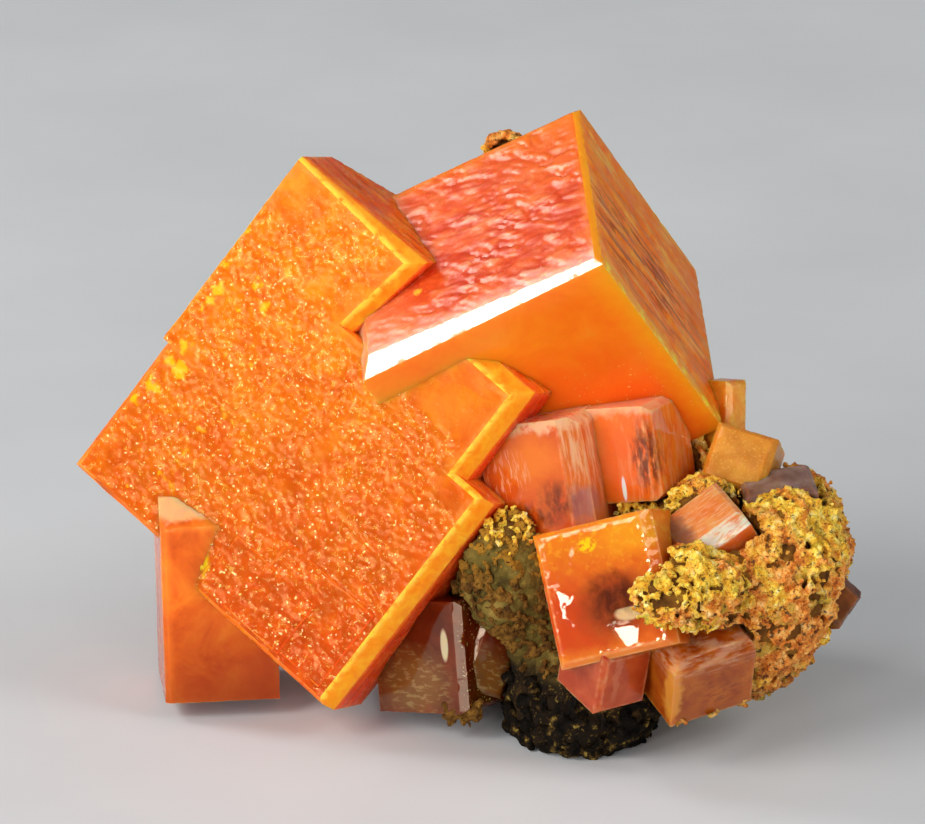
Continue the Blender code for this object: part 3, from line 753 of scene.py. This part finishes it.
def yellow_amount(x, y):
    """Strength of the yellow spots along the crystal's left side."""
    ragged = noise.noise(Vector((x * 2.5, y * 2.5, 1.0))) * 0.45
    best = 0.0
    for ax, ay, size in YELLOW_SPOTS:
        best = max(best, smooth(size - math.hypot(x - ax, y - ay) + ragged, 0.0, 0.25))
    sparse = smooth(noise.noise(Vector((x * 1.1, y * 1.1, 30.0))) + 0.25 * noise.noise(Vector((x * 4, y * 4, 1.0))),
                    0.5, 0.62)
    return max(best, sparse * smooth(9.0 - x, 0.0, 5.0) * smooth(-y, 5.0, 9.0))


def grainy_height(key, x, y, z, away):
    if key == "front":
        amount = grain_mask(x, y)
        warp = noise.noise(Vector((x * 1.3, y * 1.3, 5.0))) * 0.25
        coarse, gap = voronoi_facets(x + warp, y - warp, 0.6, 1.0, 0.24, 0.05)
        fine, _ = voronoi_facets(x, y, 0.34, 4.0, 0.3, 0.02)
        swell = noise.noise(Vector((x * 0.5, y * 0.5, 0.0))) * 0.04
        line = ridge_lines(x, y, GROWTH_LINES, 0.1) * 0.09
        groove = 0.03 * (1 - smooth(gap, 0.0, 0.22))
        return swell + amount * (coarse + fine - groove) + line
    if key in ("top", "right", "left", "bottom"):
        ripple = noise.noise(Vector((x * 0.5, y * 0.5, z * 2.4)))
        ridge = 1 - abs(noise.noise(Vector((x * 0.25, y * 0.25, z * 1.1 + 4.0)))) * 2
        return 0.06 * ripple + 0.1 * max(0.0, ridge)
    if key in ("front_top", "front_right"):
        return 0.05 * noise.noise(Vector((x * 1.2, y * 1.2, z * 1.2)))
    return 0.08 * noise.noise(Vector((x * 0.8, y * 0.8, z * 0.8)))


def tall_height(key, x, y, z, away):
    if key == "top":
        bend = noise.noise(Vector((x * 0.22, z * 0.22, 2.0))) * 1.1 + noise.noise(Vector((x, z, 5.0)) * 0.7) * 0.35
        across, down = (x + 0.4 * z) * 0.42, (z - 0.56 * x + bend) * 1.5
        near, centres = noise.voronoi(Vector((across, down, 0.5)))
        dome = smooth(near[1] - near[0], 0.0, 0.6)
        lean = (down - centres[0].y) * 0.28
        step = noise.cell(centres[0] * 17.0) - 0.5
        patches = smooth(noise.noise(Vector((x * 0.3, z * 0.45, 7.0))), -0.35, 0.25)
        calm = (0.5 + 0.5 * smooth(x + 0.3 * z + 2.0 * bend, -8.5, -3.0)) * (0.35 + 0.65 * patches)
        fine = 0.025 * noise.noise(Vector((x * 1.2, 0.0, z * 3.4)))
        return calm * (0.05 * dome + 0.045 * step - 0.08 * lean) + fine
    if key == "right":
        streak = noise.noise(Vector((z * 1.1, y * 0.12, 4.0))) + 0.5 * noise.noise(Vector((z * 3.1, y * 0.3, 1.0)))
        return 0.14 * streak
    if key == "front":
        return 0.03 * noise.noise(Vector((x * 0.3, y * 0.3, 0.0)))
    if key == "front_top":
        return 0.012 * noise.noise(Vector((x * 1.4, y * 3.0, z * 3.0)))
    return 0.06 * noise.noise(Vector((x * 0.5, y * 0.5, z * 0.5)))


def calm_height(key, x, y, z, away):
    return 0.03 * noise.noise(Vector((x * 0.5, y * 0.5, z * 0.5))) + 0.012 * noise.noise(Vector((x, y, z)) * 2.3)


FRONT_FACETS = (
    ((-3.7, 0.9), (-3.0, 0.9), (-2.3, 0.1), (-2.6, -0.5), (-3.1, -0.5), (-2.7, -1.5), (-2.5, -2.1), (-3.4, -1.4)),
    ((-0.2, -2.4), (1.6, -2.6), (2.0, -3.6), (1.6, -4.7), (0.9, -4.7), (0.2, -3.6)),
)
FACET_LEAN = (-0.054, 0.061)


def facet_height(x, y):
    """The two shallow facets on the clear crystal's front: a lean each, falling off at its border."""
    spot = np.array([[x, y]])
    for outline in FRONT_FACETS:
        corners = np.array(outline)
        if inside(spot, corners)[0]:
            middle = corners.mean(axis=0)
            fall = smooth(segment_distance(spot, corners)[0], 0.0, 0.16)
            return fall * (FACET_LEAN[0] * (x - middle[0]) + FACET_LEAN[1] * (y - middle[1]) + 0.02)
    return 0.0


def front_height(key, x, y, z, away):
    flat = calm_height(key, x, y, z, away) * 0.4
    if key != "front":
        return flat
    return flat + facet_height(x, y)


def add_piece(piece, slot, *nodes):
    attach(piece, "root")
    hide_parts(*nodes)
    return piece


# ---- the large crystals

def grainy_crystal():
    place = face_frame(**GRAINY)
    step = Matrix.Translation((19.0, -19.1, 0.004))
    crest_bevels = [((0.06, 1, 1), 1.0), ((1, -0.165, 0), 2.7225), ((1, -0.165, 1), 3.6225), ((-1, 1, -1), 4.5)]
    here = Matrix.Identity(4)
    notch = ranged((8.0, 14.5), (-7.3, 0.5), (-10.0, 0.5))
    body = ranged((0.0, 23.1), (-27.8, -2.0), (-9.5, 0.0), front_bevels(top=WIDE, right=WIDE))
    crest = ranged((-0.4, 11.3), (-16.5, 0.0), (-10.5, 0.01), crest_bevels)
    lower = ranged((-7.0, 6.7), (-9.7, 9.2), (-6.5, 0.0), front_bevels(right=WIDE))
    ledges = [ranged((-3.0, 5.0), (-8.8, -2.4), (-1.0, 0.05)), ranged((-6.2, 1.2), (-9.0, -4.6), (-1.0, 0.09))]
    others = [(notch, here, "DIFFERENCE"), (crest, here, "UNION"), (lower, step, "UNION")]
    solid = joined(body, others + [(ledge, step, "UNION") for ledge in ledges])
    skin = Skin(solid, 0.19, 11)
    front_key = KEY_NAMES.index("front")
    skin.marks["grain"] = [grain_mask(x, y) if key == front_key else 0.0 for (x, y, _), key in zip(skin.points, skin.keys)]
    skin.marks["yellow"] = [yellow_amount(x, y) if key == front_key else 0.0 for (x, y, _), key in zip(skin.points, skin.keys)]
    skin.shape(grainy_height)
    front = orange_look(
        "grainy_orange",
        [(0.25, linear("da5e08")), (0.45, linear("e8780c")), (0.6, linear("f08e12")), (0.8, linear("faa420"))],
        2.6, (0.1, 0.18), 0.12, 0.015, ior=1.45, paint=grainy_paint,
    )
    side = orange_look(
        "orange_side", [(0.3, linear("e65010")), (0.5, linear("fa6c14")), (0.7, linear("ff902c"))], 2.0, ior=1.3,
        paint=crest_paint,
    )
    # The bevels get a lighter copy of the orange: painted highlight.
    band = orange_look(
        "bright_bevel", [(0.3, linear("f48414")), (0.5, linear("fc9c1c")), (0.7, linear("ffb42c"))], 1.0, (0.25, 0.4),
        0.15, 0.03, ior=1.4, paint=bevel_paint,
    )
    deep = orange_look("deep_red", [(0.3, linear("dc3c14")), (0.5, linear("ec4c18")), (0.7, linear("f86824"))], 2.0, ior=1.3)
    looks = {"rest": side.material, "front": front.material, "front_right": band.material,
             "front_top": band.material, "right": deep.material}
    return add_piece(skin.build("grainy_crystal", place, looks), "orange_crystal", "large_crystals")


def tall_crystal():
    bevels = [((-0.03, 1, 0.75), 0.95), ((1, 1, 0), 0.4), ((0, 1, -1), 0.6), ((-1, 1, 0), 1.2)]
    skin = Skin(centred(TALL, bevels), 0.19, 12)
    skin.shape(tall_height)
    lower = orange_look(
        "smooth_orange", [(0.3, linear("f87414")), (0.55, linear("ff8c1c")), (0.75, linear("ffa02c"))],
        5.0, (0.12, 0.2), 0.3, 0.01, paint=smooth_paint,
    )
    pink = orange_look(
        "scaly_pink", [(0.3, linear("da4818")), (0.5, linear("ea6428")), (0.7, linear("f28248"))],
        1.6, (0.16, 0.3), 0.3, 0.015, paint=scaly_paint, tint=(1.0, 0.8, 0.65),
    )
    streaked = orange_look(
        "streaked_orange", [(0.3, linear("f06814")), (0.5, linear("fc821e")), (0.7, linear("ffa034"))],
        1.8, (0.3, 0.5), 0.18, 0.03, ior=1.3, paint=streaked_paint,
    )
    # Painted highlight in part: the bevels get a pale copy of the orange, and the high IOR gives their white
    # reflection.
    band = orange_look(
        "pale_reflecting_bevel", [(0.3, linear("f0a070")), (0.7, linear("ffd0a0"))], 1.2, (0.1, 0.2), 0.3, 0.008, ior=2.35, tint=(1.0, 1.0, 1.0),
    )
    looks = {"rest": lower.material, "top": pink.material, "right": streaked.material,
             "front_top": band.material, "top_left": band.material}
    return add_piece(skin.build("tall_crystal", face_frame(**TALL), looks), "orange_crystal", "large_crystals")


def plain_crystal(name, place, bevels, spacing, look, slot, *nodes, seed=20, height=calm_height):
    skin = Skin(centred(place, bevels), spacing, seed)
    skin.shape(height)
    return add_piece(skin.build(name, face_frame(**place), {"rest": look.material}), slot, *nodes)


grainy_crystal()
tall_crystal()
foot_orange = orange_look(
    "foot_orange", [(0.3, linear("c8480f")), (0.5, linear("e46818")), (0.7, linear("f28824"))], 3.0, (0.12, 0.22),
    0.3, 0.015, paint=foot_paint,
)
plain_crystal("left_foot_crystal", LEFT_FOOT, [((0, 1, 1), 1.8), ((0.4, 1, 0), 2.5), ((-1, 0, 1), NARROW)], 0.25,
              foot_orange, "orange_crystal", "large_crystals", seed=13)

AMBER_TINT = (0.98, 0.7, 0.3)
upper_left = clear_look("upper_left_clear", "da5614", "ec7420", AMBER_TINT, 120.0, 0.18, paint=upper_left_paint)
upper_right = clear_look("upper_right_clear", "f07020", "fc902c", AMBER_TINT, 120.0, 0.15, paint=upper_right_paint)
low_clear = clear_look("low_clear", "6c1c06", "8a300c", AMBER_TINT, 160.0, 0.4, 0.08, paint=low_paint, rim="9a5028")
front_clear = clear_look("front_clear", "dc5c1a", "ee7c24", AMBER_TINT, 120.0, 0.2, 0.03, paint=front_paint,
                         ripple=0.01)
lower_clear = clear_look("lower_clear", "c04418", "d8602c", AMBER_TINT, 120.0, 0.3, 0.06, paint=lower_paint)
amber_clear = clear_look("amber_clear", "ae4a0c", "d27018", AMBER_TINT, 120.0, 0.3, 0.06, paint=amber_paint, rim="f0b070")
pink_clear = clear_look("pink_clear", "ee8236", "ffae60", AMBER_TINT, 100.0, 0.25, 0.1, paint=pink_paint)
frosted = clear_look("frosted", "cc801c", "e6a030", AMBER_TINT, 120.0, 0.15, 0.35, paint=frosted_paint, rim="f0962a")
edge_clear = clear_look("edge_clear", "f08c18", "ffc040", AMBER_TINT, 100.0, 0.05, 0.25, rim="ffd080")
flat_clear = clear_look("flat_clear", "7a5648", "b09284", (0.7, 0.6, 0.5), 160.0, 0.25, 0.15, rim="c07858")
tip_clear = clear_look("tip_clear", "6e3414", "a8602c", AMBER_TINT, 160.0, 0.45, 0.08, rim="d89a60")

plain_crystal("upper_left_crystal", UPPER_LEFT, side_bevels(front=1.2, top=0.6), 0.3, upper_left,
              "clear_orange_crystal", "large_crystals", seed=21)
plain_crystal("upper_right_crystal", UPPER_RIGHT, side_bevels(front=0.5, top=0.5), 0.3, upper_right,
              "clear_orange_crystal", "large_crystals", seed=22)
plain_crystal("low_crystal", LOW, side_bevels(front=0.5), 0.3, low_clear,
              "brown_crystal", "large_crystals", seed=23)
plain_crystal("low_back_crystal", LOW_BACK, front_bevels(), 0.3, low_clear,
              "brown_crystal", "large_crystals", seed=24)
plain_crystal("clear_crystal", CLEAR, front_bevels(right=0.7, bottom=0.4), 0.16, front_clear,
              "clear_orange_crystal", "front_crystals", seed=25, height=front_height)
plain_crystal("clear_lower_crystal", CLEAR_LOWER, front_bevels(right=0.5), 0.3, lower_clear,
              "clear_orange_crystal", "front_crystals", seed=26)
plain_crystal("amber_crystal", AMBER, top_bevels(front=0.7, left=0.7), 0.3, amber_clear,
              "clear_orange_crystal", "front_crystals", seed=27)
plain_crystal("leaning_pink_crystal", LEANING, front_bevels(bottom=0.9), 0.25, pink_clear,
              "pink_orange_crystal", "leaning_crystal", seed=28)
plain_crystal("frosted_cloudy_crystal", FROSTED, front_bevels(right=0.5), 0.25, frosted,
              "cloudy_crystal", "frosted_crystal", seed=29)
plain_crystal("edge_orange_crystal", EDGE, side_bevels(), 0.25, edge_clear,
              "cloudy_crystal", "edge_crystal", seed=30)
plain_crystal("flat_brown_crystal", FLAT, front_bevels(), 0.25, flat_clear,
              "brown_crystal", "flat_crystal", seed=31)
plain_crystal("tip_brown_crystal", TIP, front_bevels(right=0.9, top=0.9), 0.25, tip_clear,
              "brown_crystal", "tip_crystal", seed=32)


# ---- the rock

def tree_of(*names):
    """A search tree over the surfaces of CAD nodes."""
    corners, faces = [], []
    for name in names:
        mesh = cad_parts[name].data
        start = len(corners)
        corners.extend(vert.co.copy() for vert in mesh.vertices)
        faces.extend([start + i for i in face.vertices] for face in mesh.polygons)
    return BVHTree.FromPolygons(corners, faces)


def spread(mesh, count, rng):
    """Points spread evenly over a mesh's area, each with its face's normal, in metres."""
    mesh.calc_loop_triangles()
    corners = np.array([[mesh.vertices[i].co for i in tri.vertices] for tri in mesh.loop_triangles])
    ways = np.cross(corners[:, 1] - corners[:, 0], corners[:, 2] - corners[:, 0])
    area = np.linalg.norm(ways, axis=1)
    picked = rng.choice(len(corners), count, p=area / area.sum())
    a, b = rng.random((2, count))
    flip = a + b > 1
    a[flip], b[flip] = 1 - a[flip], 1 - b[flip]
    sides = corners[picked]
    points = sides[:, 0] + a[:, None] * (sides[:, 1] - sides[:, 0]) + b[:, None] * (sides[:, 2] - sides[:, 0])
    return points, ways[picked] / area[picked][:, None]


def fused(name, corners, faces, voxel):
    """Overlapping lumps melted into one closed surface."""
    mesh = bpy.data.meshes.new(name)
    mesh.from_pydata(corners, [], faces)
    piece = bpy.data.objects.new(name, mesh)
    bpy.context.scene.collection.objects.link(piece)
    melt = piece.modifiers.new("melt", "REMESH")
    melt.mode = "VOXEL"
    melt.voxel_size = voxel * MM
    melted = bpy.data.meshes.new_from_object(piece.evaluated_get(bpy.context.evaluated_depsgraph_get()))
    piece.modifiers.clear()
    piece.data = melted
    melted.name = name
    return piece


def roughen(piece, height):
    """Move every vertex along its normal by height(point in mm, normal); store the points' places and return them with
    the rises.
    """
    mesh = piece.data
    count = len(mesh.vertices)
    points = np.empty(count * 3)
    mesh.vertices.foreach_get("co", points)
    points = points.reshape(-1, 3) / MM
    ways = np.array([vert.normal for vert in mesh.vertices])
    rise = np.array([height(Vector(p), w) for p, w in zip(points, ways)])
    moved = (points + ways * rise[:, None]) * MM
    moved[:, 2] = np.maximum(moved[:, 2], 0.00002)
    mesh.vertices.foreach_set("co", moved.ravel())
    mesh.update()
    store_places(mesh, points)
    return points, rise


CRYSTAL_NODES = [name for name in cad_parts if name.endswith("crystal") or name.endswith("crystals")]


def in_crust(point):
    """How much a point of the rock (mm) belongs to the porous crust at the right."""
    x, y, z = point
    side = smooth(x + 0.25 * z, 14.5, 17.0)
    tongue = smooth(x, 8.5, 10.0) * smooth(z, 10.2, 11.6) * smooth(-y, 6.0, 9.0)
    saddle = smooth(z, 14.0, 16.5) * smooth(-y, -4.0, 0.0)
    wander = noise.noise(Vector((x, y, z)) * 0.3) * 5.0
    return max(side, tongue, saddle) * smooth(wander - y, -9.0, -4.0)


def in_green(point):
    x, y, z = point
    wander = noise.noise(Vector((x, y, z)) * 0.22) * 5.0 * smooth(y, -2.0, 4.0)
    return smooth(8.5 - x + wander, 0.0, 2.0) * smooth(z - wander, 5.0, 7.0)


def in_dark(point):
    x, y, z = point
    wander = noise.noise(Vector((x, y, z)) * 0.4) * 1.5
    return smooth(6.0 - z + wander, 0.0, 2.0) * smooth(14.0 - x, 0.0, 3.0) * smooth(wander - y, -6.0, 0.0)


def rock_height(point, way):
    broad = noise.fractal(point * 0.45, 1.0, 2.0, 3) * 0.45
    fine = noise.fractal(point * 1.9, 0.8, 2.1, 3) * 0.16
    pit = noise.voronoi(point * 1.3)[0][0]
    return broad * 0.5 + fine - 0.22 * smooth(0.35 - pit, 0.0, 0.3)


def limonite_rock():
    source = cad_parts["matrix"].data
    corners = [tuple(vert.co) for vert in source.vertices]
    piece = fused("limonite_rock", corners, [list(face.vertices) for face in source.polygons], 0.3)
    points, rise = roughen(piece, rock_height)
    store(piece.data, "relief", rise)
    store(piece.data, "crust", [in_crust(p) for p in points])
    store(piece.data, "green", [in_green(p) for p in points])
    look = Look("limonite", Roughness=0.9, IOR=1.45, Specular_IOR_Level=0.2)
    where = look.spot()
    broad = look.noise(where, 2.2, 4.0, 0.6)
    fine = look.noise(where, 0.35, 4.0, 0.65)
    dark = look.ramp(broad, [(0.35, linear("100903")), (0.55, linear("221506")), (0.72, linear("4a3414"))])
    green = look.ramp(broad, [(0.3, linear("4a3a14")), (0.5, linear("6e5c26")), (0.7, linear("94793a"))])
    crust = look.ramp(broad, [(0.3, linear("40240a")), (0.5, linear("704414")), (0.7, linear("a07024"))])
    colour = look.mix(look.stored("green"), dark, green)
    colour = look.mix(look.stored("crust"), colour, crust)
    speck = look.band(fine, 0.58, 0.7)
    colour = look.mix(look.math("MULTIPLY", speck, 0.5), colour, linear("a98a3c"))
    # Painted shade: the pits of the relief are darkened.
    pit_shade = look.band(look.stored("relief"), -0.05, -0.3)
    colour = look.mix(look.math("MULTIPLY", pit_shade, 0.8), colour, linear("120a04"))
    look.set(Base_Color=colour, Normal=look.bump(fine, 0.08, 0.8))
    piece.data.materials.append(look.material)
    return add_piece(piece, "limonite", "matrix")


def unit_grain():
    """Corners and triangles of a small round grain."""
    ball = bmesh.new()
    bmesh.ops.create_icosphere(ball, subdivisions=1, radius=1.0)
    corners = np.array([tuple(vert.co) for vert in ball.verts])
    faces = np.array([[vert.index for vert in face.verts] for face in ball.faces])
    ball.free()
    return corners, faces


def grown_crust(name, seed, count, keep, sizes, voxel, look, lift=(-0.25, 0.45), lumps=0.0, node="matrix",
                slot="limonite", bits=()):
    """A spongy crust: grains strewn over a node where keep allows, melted together."""
    rng = np.random.default_rng(seed)
    crystals = tree_of(*CRYSTAL_NODES)
    grain, grain_faces = unit_grain()
    corners, faces = [], []

    def drop(point, way, size, shift):
        turn = np.array(Euler(rng.uniform(0, 6.28, 3)).to_matrix())
        flat = rng.uniform(0.65, 1.25, 3)
        faces.append(grain_faces + len(corners) * len(grain))
        corners.append((grain * flat * size * MM) @ turn.T + point + way * shift * MM)

    points, ways = spread(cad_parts[node].data, count, rng)
    for point, way in zip(points, ways):
        chance, size, shift = rng.random(), rng.uniform(*sizes), rng.uniform(*lift)
        spot = Vector(point / MM)
        if keep(spot) < chance or crystals.find_nearest(Vector(point))[3] < 0.45 * MM:
            continue
        lump = 0.6 * noise.noise(spot * 0.8) + 0.4 * noise.noise(spot * 2.0)
        if lumps and lump < -0.3:
            continue
        drop(point, way, size, shift + lumps * lump)
    for place, middle, radius, number in bits:
        centre = face_frame(**place) @ Vector(middle)
        for _ in range(number):
            away = Vector(rng.normal(0, 1, 3)) * radius * 0.5
            drop(np.array((centre + away) * MM), np.zeros(3), rng.uniform(*sizes), 0.0)
    piece = fused(name, np.concatenate(corners).tolist(), np.concatenate(faces).tolist(), voxel)
    skin = tree_of(node)

    def stand(point):
        near, way, _, gap = skin.find_nearest(point)
        return gap / MM * (1 if (point - near).dot(way) > 0 else -1)

    heights = [stand(vert.co) for vert in piece.data.vertices]
    shell = bmesh.new()
    shell.from_mesh(piece.data)
    shell.verts.ensure_lookup_table()
    buried = [face for face in shell.faces if all(heights[vert.index] < -0.4 for vert in face.verts)]
    bmesh.ops.delete(shell, geom=buried, context="FACES")
    shell.to_mesh(piece.data)
    shell.free()
    heights = [stand(vert.co) for vert in piece.data.vertices]
    roughen(piece, lambda point, way: noise.fractal(point * 3.2, 0.8, 2.0, 3) * 0.09)
    store(piece.data, "relief", heights)
    piece.data.materials.append(look.material)
    return add_piece(piece, slot, node)


def crust_look():
    look = Look("mustard_crust", Roughness=0.6, IOR=1.5, Specular_IOR_Level=0.3)
    where = look.spot()
    middle = look.noise(where, 0.7, 4.0, 0.65)
    fine = look.noise(where, 0.16, 3.0, 0.6)
    mustard = look.ramp(middle, [(0.3, linear("b87010")), (0.43, linear("e6aa24")), (0.56, linear("fcd84c")),
                                 (0.7, linear("fff4a8"))])
    rusty = look.ramp(middle, [(0.3, linear("843a0c")), (0.45, linear("d8781e")), (0.6, linear("f4b054")),
                               (0.75, linear("ffe4a4"))])
    heart = look.near((20.5, -9.0, 9.5), (5.5, 12.0, 5.0), 1.2)
    broad = look.noise(where, 3.0, 3.0, 0.6, 0.5)
    rust = look.band(look.math("ADD", broad, look.math("MULTIPLY", heart, 0.18)), 0.48, 0.62)
    colour = look.mix(rust, mustard, rusty)
    green = look.band(look.noise(where, 1.7, 2.0), 0.56, 0.68)
    colour = look.mix(look.math("MULTIPLY", green, 0.5), colour, linear("8f9426"))
    # Painted shade: darker towards the bottom.
    colour = look.tint(colour, look.along((0.0, 0.0, -1.0), -8.0, -2.0), "5a3a12", 0.6)
    colour = look.tint(colour, look.band(fine, 0.46, 0.34), "5a2a08", 0.65)
    colour = look.tint(colour, look.band(look.noise(where, 0.5, 3.0, 0.6), 0.43, 0.35), "341a06", 0.85)
    # Painted shade: darker where the crust lies low among its grains.
    deep = look.band(look.stored("relief"), 0.08, -0.3)
    colour = look.tint(colour, deep, "2c1806", 0.95)
    look.set(Base_Color=colour, Normal=look.bump(fine, 0.07, 1.0))
    return look


def green_look():
    look = Look("green_grey_crust", Roughness=0.85, IOR=1.45, Specular_IOR_Level=0.2)
    where = look.spot()
    middle = look.noise(where, 1.1, 5.0, 0.65)
    fine = look.noise(where, 0.22, 3.0, 0.6)
    colour = look.ramp(middle, [(0.3, linear("2e1a06")), (0.45, linear("5a3a10")), (0.6, linear("80581e")),
                                (0.78, linear("a88438"))])
    up = look.band(look.math("ADD", look.part("Z"), look.math("MULTIPLY", middle, 3.0)), 13.0, 16.0)
    colour = look.mix(look.math("MULTIPLY", up, 0.6), colour, linear("c08a28"))
    colour = look.mix(look.band(fine, 0.45, 0.3), colour, linear("241404"))
    look.set(Base_Color=colour, Normal=look.bump(fine, 0.07, 0.9))
    return look


# Near-black grains low at the front under the crystals: partly the rock's own dark colour, partly painted shade.
def dark_look():
    look = Look("dark_crust", Roughness=0.7, IOR=1.5, Specular_IOR_Level=0.08)
    where = look.spot()
    middle = look.noise(where, 0.9, 5.0, 0.65)
    fine = look.noise(where, 0.25, 3.0, 0.6)
    colour = look.ramp(middle, [(0.4, linear("050301")), (0.55, linear("160e05")), (0.62, linear("4a3616")),
                                (0.72, linear("b09844"))])
    look.set(Base_Color=colour, Normal=look.bump(fine, 0.08, 0.9))
    return look


limonite_rock()
mustard_crust = crust_look()
AMBER_BITS = [(AMBER, (-2.6, -2.7, -0.4), 0.5, 30), (AMBER, (0.4, -2.8, -0.3), 0.5, 26), (AMBER, (2.6, -2.7, -0.5), 0.6, 40)]
LOW_BITS = [(LOW, (3.4, -4.0, -1.2), 0.7, 90), (LOW, (2.2, -4.0, -0.4), 0.6, 60)]
grown_crust("porous_crust_front", 41, 72000, lambda p: in_crust(p) * (p.x + 0.25 * p.z < 19.5), (0.1, 0.26), 0.12,
            mustard_crust, (-0.3, 0.45), 0.9, bits=AMBER_BITS)
grown_crust("porous_crust_side", 44, 74000, lambda p: in_crust(p) * (p.x + 0.25 * p.z > 19.3), (0.12, 0.28), 0.155,
            mustard_crust, (-0.3, 0.45), 0.9)
grown_crust("green_crust", 42, 16000, in_green, (0.12, 0.34), 0.15, green_look(), (-0.2, 0.2), bits=LOW_BITS)
grown_crust("dark_crust", 43, 9000, in_dark, (0.2, 0.6), 0.2, dark_look(), (-0.3, 0.3))
grown_crust("yellow_crust_fleck", 45, 700, lambda p: 1.0, (0.12, 0.3), 0.1, mustard_crust, (-0.05, 0.3),
            node="crust_fleck")


# ---- floor, light and camera

def floor():
    mesh = bpy.data.meshes.new("floor")
    half = 2.0
    mesh.from_pydata([(-half, -half, 0), (half, -half, 0), (half, half, 0), (-half, half, 0)], [], [(0, 1, 2, 3)])
    look = Look("pale_floor", Roughness=0.7)
    tone = look.noise(look.spot(), 40.0, 4.0)
    look.set(Base_Color=look.ramp(tone, [(0.3, linear("cfd1d2")), (0.7, linear("d8dadb"))]))
    mesh.materials.append(look.material)
    store_places(mesh, [(x * half / MM, y * half / MM, 0) for x, y in ((-1, -1), (1, -1), (1, 1), (-1, 1))])
    piece = bpy.data.objects.new("floor", mesh)
    bpy.context.scene.collection.objects.link(piece)


def softbox(name, towards, distance, size, power, colour=(1.0, 1.0, 1.0)):
    """A square light that looks at the specimen's middle from the given direction."""
    lamp = bpy.data.lights.new(name, "AREA")
    lamp.shape = "RECTANGLE"
    lamp.size, lamp.size_y = size
    lamp.energy = power
    lamp.color = colour
    item = bpy.data.objects.new(name, lamp)
    way = Vector(towards).normalized()
    item.location = Vector((0, 0, 0.02)) + way * distance
    item.rotation_euler = (-way).to_track_quat("-Z", "Y").to_euler()
    bpy.context.scene.collection.objects.link(item)


def bearing(azimuth, elevation):
    """Direction from the specimen: azimuth to the right of the camera's side, elevation upwards."""
    azimuth, elevation = math.radians(azimuth), math.radians(elevation)
    flat = math.cos(elevation)
    return math.sin(azimuth) * flat, -math.cos(azimuth) * flat, math.sin(elevation)


def stage():
    floor()
    softbox("key", bearing(-58, 38), 0.8, (0.35, 0.35), 2.9, (1.0, 0.98, 0.95))
    softbox("glint", bearing(-27, 14), 0.7, (0.11, 0.13), 1.2)
    softbox("edge_glint", bearing(-45, 23), 0.7, (0.16, 0.15), 0.7)
    softbox("front", bearing(12, 10), 0.8, (0.4, 0.3), 1.5)
    softbox("right", bearing(70, 40), 0.8, (0.35, 0.35), 1.7)
    softbox("top_back", (-0.75, 0.30, 0.60), 0.7, (0.2, 0.2), 1.2)
    world = bpy.data.worlds.new("studio")
    bpy.context.scene.world = world
    world.use_nodes = True
    world.node_tree.nodes["Background"].inputs["Color"].default_value = (0.86, 0.9, 0.95, 1.0)
    world.node_tree.nodes["Background"].inputs["Strength"].default_value = 0.22
    camera = bpy.data.cameras.new("camera")
    camera.lens = 250.0
    camera.sensor_width = 36.0
    camera.clip_start = 0.01
    camera.clip_end = 20.0
    item = bpy.data.objects.new("camera", camera)
    elevation = math.radians(20.0)
    target = Vector((-0.00024, -0.01044, 0.02556))
    item.location = target + Vector((0, -math.cos(elevation), math.sin(elevation))) * 0.44
    item.rotation_euler = (math.radians(70.0), 0, 0)
    bpy.context.scene.collection.objects.link(item)
    bpy.context.scene.camera = item
    bpy.context.scene.view_settings.view_transform = "Standard"


stage()
